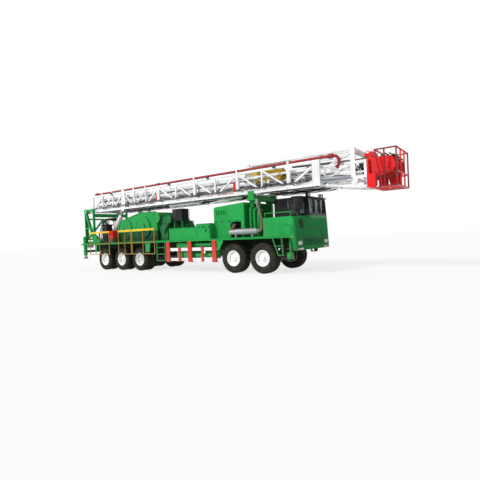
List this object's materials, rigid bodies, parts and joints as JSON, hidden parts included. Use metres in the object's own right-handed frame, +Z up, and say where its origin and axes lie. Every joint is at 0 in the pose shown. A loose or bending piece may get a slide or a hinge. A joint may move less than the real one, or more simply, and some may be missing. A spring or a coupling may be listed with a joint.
{
  "type": "truck-mounted workover rig",
  "caption": "Heavy multi-axle truck carrying a telescoping lattice mast, drawworks, engine and a half-width cab, with the mast stowed over the cab.",
  "frame": {"origin": "on the ground, under the middle of the overall box with the mast stowed", "axes": "+X forward along the vehicle, +Y to its left, +Z up"},
  "size_m": [16.16, 2.8606, 4.19],
  "materials": {
    "axle_black": "painted",
    "block_yellow": "gloss enamel",
    "body_green": "gloss enamel",
    "crown_red": "gloss enamel",
    "engine_grey": "painted",
    "frame_green": "gloss enamel",
    "glass": "clear",
    "guard_red": "gloss enamel",
    "guard_white": "gloss enamel",
    "ladder_grey": "satin",
    "lamp": "clear",
    "lift_white": "gloss enamel",
    "mast_white": "gloss enamel",
    "rail_yellow": "gloss enamel",
    "seat_black": "grained",
    "sheave_grey": "machined",
    "silencer": "bright",
    "steel": "ground",
    "tyre": "matt rubber with a painted steel rim"
  },
  "bodies": {
    "carrier": {"chassis": "frame_green", "deck": "body_green", "front_panel": "body_green", "cab_shell": "body_green", "cab_glass": "glass", "cab_seat": "seat_black", "side_box": "body_green", "air_cleaner": "axle_black", "engine_hood": "body_green", "engine_block": "engine_grey", "lockers": "body_green", "exhaust": "silencer", "mast_rest": "body_green", "drawworks_case": "body_green", "gearbox": "frame_green", "mast_stand": "body_green", "guard_posts": "guard_red", "guard_rails": "guard_white", "tanks": "body_green", "ladders": "ladder_grey", "handrails": "rail_yellow", "front_axles": "axle_black", "rear_axles": "axle_black", "lamps": "lamp"},
    "door": {"cab_door": "body_green", "door_glass": "glass"},
    "hatch": {"hatch": "body_green"},
    "drum": {"drum": "steel"},
    "knuckle_r1": {"knuckle_r1": "axle_black"},
    "knuckle_l1": {"knuckle_l1": "axle_black"},
    "knuckle_r2": {"knuckle_r2": "axle_black"},
    "knuckle_l2": {"knuckle_l2": "axle_black"},
    "wheel_r1": {"wheel_r1": "tyre"},
    "wheel_l1": {"wheel_l1": "tyre"},
    "wheel_r2": {"wheel_r2": "tyre"},
    "wheel_l2": {"wheel_l2": "tyre"},
    "wheel_r3": {"wheel_r3": "tyre"},
    "wheel_l3": {"wheel_l3": "tyre"},
    "wheel_r4": {"wheel_r4": "tyre"},
    "wheel_l4": {"wheel_l4": "tyre"},
    "wheel_r5": {"wheel_r5": "tyre"},
    "wheel_l5": {"wheel_l5": "tyre"},
    "jack_mid_r": {"jack_mid_r": "steel"},
    "jack_mid_l": {"jack_mid_l": "steel"},
    "jack_rear_r": {"jack_rear_r": "steel"},
    "jack_rear_l": {"jack_rear_l": "steel"},
    "mast_lower": {"mast_lower": "mast_white", "standpipe": "crown_red"},
    "mast_upper": {"mast_upper": "mast_white", "mast_nose": "mast_white", "crown": "crown_red", "travelling_block": "block_yellow"},
    "crown_sheaves": {"crown_sheaves": "sheave_grey"},
    "racking_board": {"racking_board": "mast_white"},
    "lift_barrels": {"lift_barrels": "lift_white"},
    "lift_stage_1": {"lift_stage_1": "steel"},
    "lift_stage_2": {"lift_stage_2": "steel"},
    "lift_rods": {"lift_rods": "steel"}
  },
  "joints": [
    {"name": "steer_l1", "type": "hinge", "parent": "carrier", "child": "knuckle_l1", "pos_m": [3.4, 0.79, 0.575], "axis": [0, 0, 1], "range_deg": [-32, 32]},
    {"name": "steer_r1", "type": "hinge", "parent": "carrier", "child": "knuckle_r1", "pos_m": [3.4, -0.79, 0.575], "axis": [0, 0, 1], "range_deg": [-32, 32]},
    {"name": "steer_l2", "type": "hinge", "parent": "carrier", "child": "knuckle_l2", "pos_m": [2.065, 0.79, 0.575], "axis": [0, 0, 1], "range_deg": [-27, 27]},
    {"name": "steer_r2", "type": "hinge", "parent": "carrier", "child": "knuckle_r2", "pos_m": [2.065, -0.79, 0.575], "axis": [0, 0, 1], "range_deg": [-27, 27]},
    {"name": "roll_l1", "type": "hinge", "parent": "knuckle_l1", "child": "wheel_l1", "pos_m": [3.4, 1.0775, 0.575], "axis": [0, 1, 0], "continuous": true},
    {"name": "roll_r1", "type": "hinge", "parent": "knuckle_r1", "child": "wheel_r1", "pos_m": [3.4, -1.0775, 0.575], "axis": [0, 1, 0], "continuous": true},
    {"name": "roll_l2", "type": "hinge", "parent": "knuckle_l2", "child": "wheel_l2", "pos_m": [2.065, 1.0775, 0.575], "axis": [0, 1, 0], "continuous": true},
    {"name": "roll_r2", "type": "hinge", "parent": "knuckle_r2", "child": "wheel_r2", "pos_m": [2.065, -1.0775, 0.575], "axis": [0, 1, 0], "continuous": true},
    {"name": "roll_l3", "type": "hinge", "parent": "carrier", "child": "wheel_l3", "pos_m": [-3.46, 1, 0.5425], "axis": [0, 1, 0], "continuous": true},
    {"name": "roll_r3", "type": "hinge", "parent": "carrier", "child": "wheel_r3", "pos_m": [-3.46, -1, 0.5425], "axis": [0, 1, 0], "continuous": true},
    {"name": "roll_l4", "type": "hinge", "parent": "carrier", "child": "wheel_l4", "pos_m": [-4.81, 1, 0.5425], "axis": [0, 1, 0], "continuous": true},
    {"name": "roll_r4", "type": "hinge", "parent": "carrier", "child": "wheel_r4", "pos_m": [-4.81, -1, 0.5425], "axis": [0, 1, 0], "continuous": true},
    {"name": "roll_l5", "type": "hinge", "parent": "carrier", "child": "wheel_l5", "pos_m": [-6.16, 1, 0.5425], "axis": [0, 1, 0], "continuous": true},
    {"name": "roll_r5", "type": "hinge", "parent": "carrier", "child": "wheel_r5", "pos_m": [-6.16, -1, 0.5425], "axis": [0, 1, 0], "continuous": true},
    {"name": "door_swing", "type": "hinge", "parent": "carrier", "child": "door", "pos_m": [4.627, 1.404, 2.05], "axis": [0, 0, -1], "range_deg": [0, 75]},
    {"name": "hatch_swing", "type": "hinge", "parent": "carrier", "child": "hatch", "pos_m": [4.697, -1.404, 1.58], "axis": [0, 0, 1], "range_deg": [0, 100]},
    {"name": "drum_turn", "type": "hinge", "parent": "carrier", "child": "drum", "pos_m": [-4.9, 0, 2.02], "axis": [0, 1, 0], "continuous": true},
    {"name": "lower_mid_r", "type": "slide", "parent": "carrier", "child": "jack_mid_r", "axis": [0, 0, -1], "range_m": [0, 0.47]},
    {"name": "lower_mid_l", "type": "slide", "parent": "carrier", "child": "jack_mid_l", "axis": [0, 0, -1], "range_m": [0, 0.47]},
    {"name": "lower_rear_r", "type": "slide", "parent": "carrier", "child": "jack_rear_r", "axis": [0, 0, -1], "range_m": [0, 0.56]},
    {"name": "lower_rear_l", "type": "slide", "parent": "carrier", "child": "jack_rear_l", "axis": [0, 0, -1], "range_m": [0, 0.56]},
    {"name": "mast_raise", "type": "hinge", "parent": "carrier", "child": "mast_lower", "pos_m": [-7.95, 0, 3.1], "axis": [0, -1, 0], "range_deg": [0, 93.5]},
    {"name": "mast_extend", "type": "slide", "parent": "mast_lower", "child": "mast_upper", "axis": [1, 0, 0], "range_m": [0, 10.8]},
    {"name": "sheaves_turn", "type": "hinge", "parent": "mast_upper", "child": "crown_sheaves", "pos_m": [7.7, 0, 3.48], "axis": [0, 1, 0], "continuous": true},
    {"name": "board_fold", "type": "hinge", "parent": "mast_upper", "child": "racking_board", "pos_m": [2.52, 0, 4.15], "axis": [0, -1, 0], "range_deg": [0, 90]},
    {"name": "lift_tilt", "type": "hinge", "parent": "carrier", "child": "lift_barrels", "pos_m": [-6.5, 0, 1.62], "axis": [0, -1, 0], "range_deg": [0, 57.81]},
    {"name": "lift_extend_1", "type": "slide", "parent": "lift_barrels", "child": "lift_stage_1", "axis": [0.6024, 0, 0.7982], "range_m": [0, 0.8479]},
    {"name": "lift_extend_2", "type": "slide", "parent": "lift_stage_1", "child": "lift_stage_2", "axis": [0.6024, 0, 0.7982], "range_m": [0, 0.8479]},
    {"name": "lift_extend_3", "type": "slide", "parent": "lift_stage_2", "child": "lift_rods", "axis": [0.6024, 0, 0.7982], "range_m": [0, 0.8479]}
  ],
  "couplings": [
    {"joint": "steer_r1", "follows": "steer_l1", "ratio": 1},
    {"joint": "steer_l2", "follows": "steer_l1", "ratio": 0.84},
    {"joint": "steer_r2", "follows": "steer_l1", "ratio": 0.84},
    {"joint": "lift_tilt", "follows": "mast_raise", "ratio": 0.61182},
    {"joint": "lift_extend_1", "follows": "mast_raise", "m_per_rad": 0.51715},
    {"joint": "lift_extend_2", "follows": "mast_raise", "m_per_rad": 0.51715},
    {"joint": "lift_extend_3", "follows": "mast_raise", "m_per_rad": 0.51715}
  ]
}
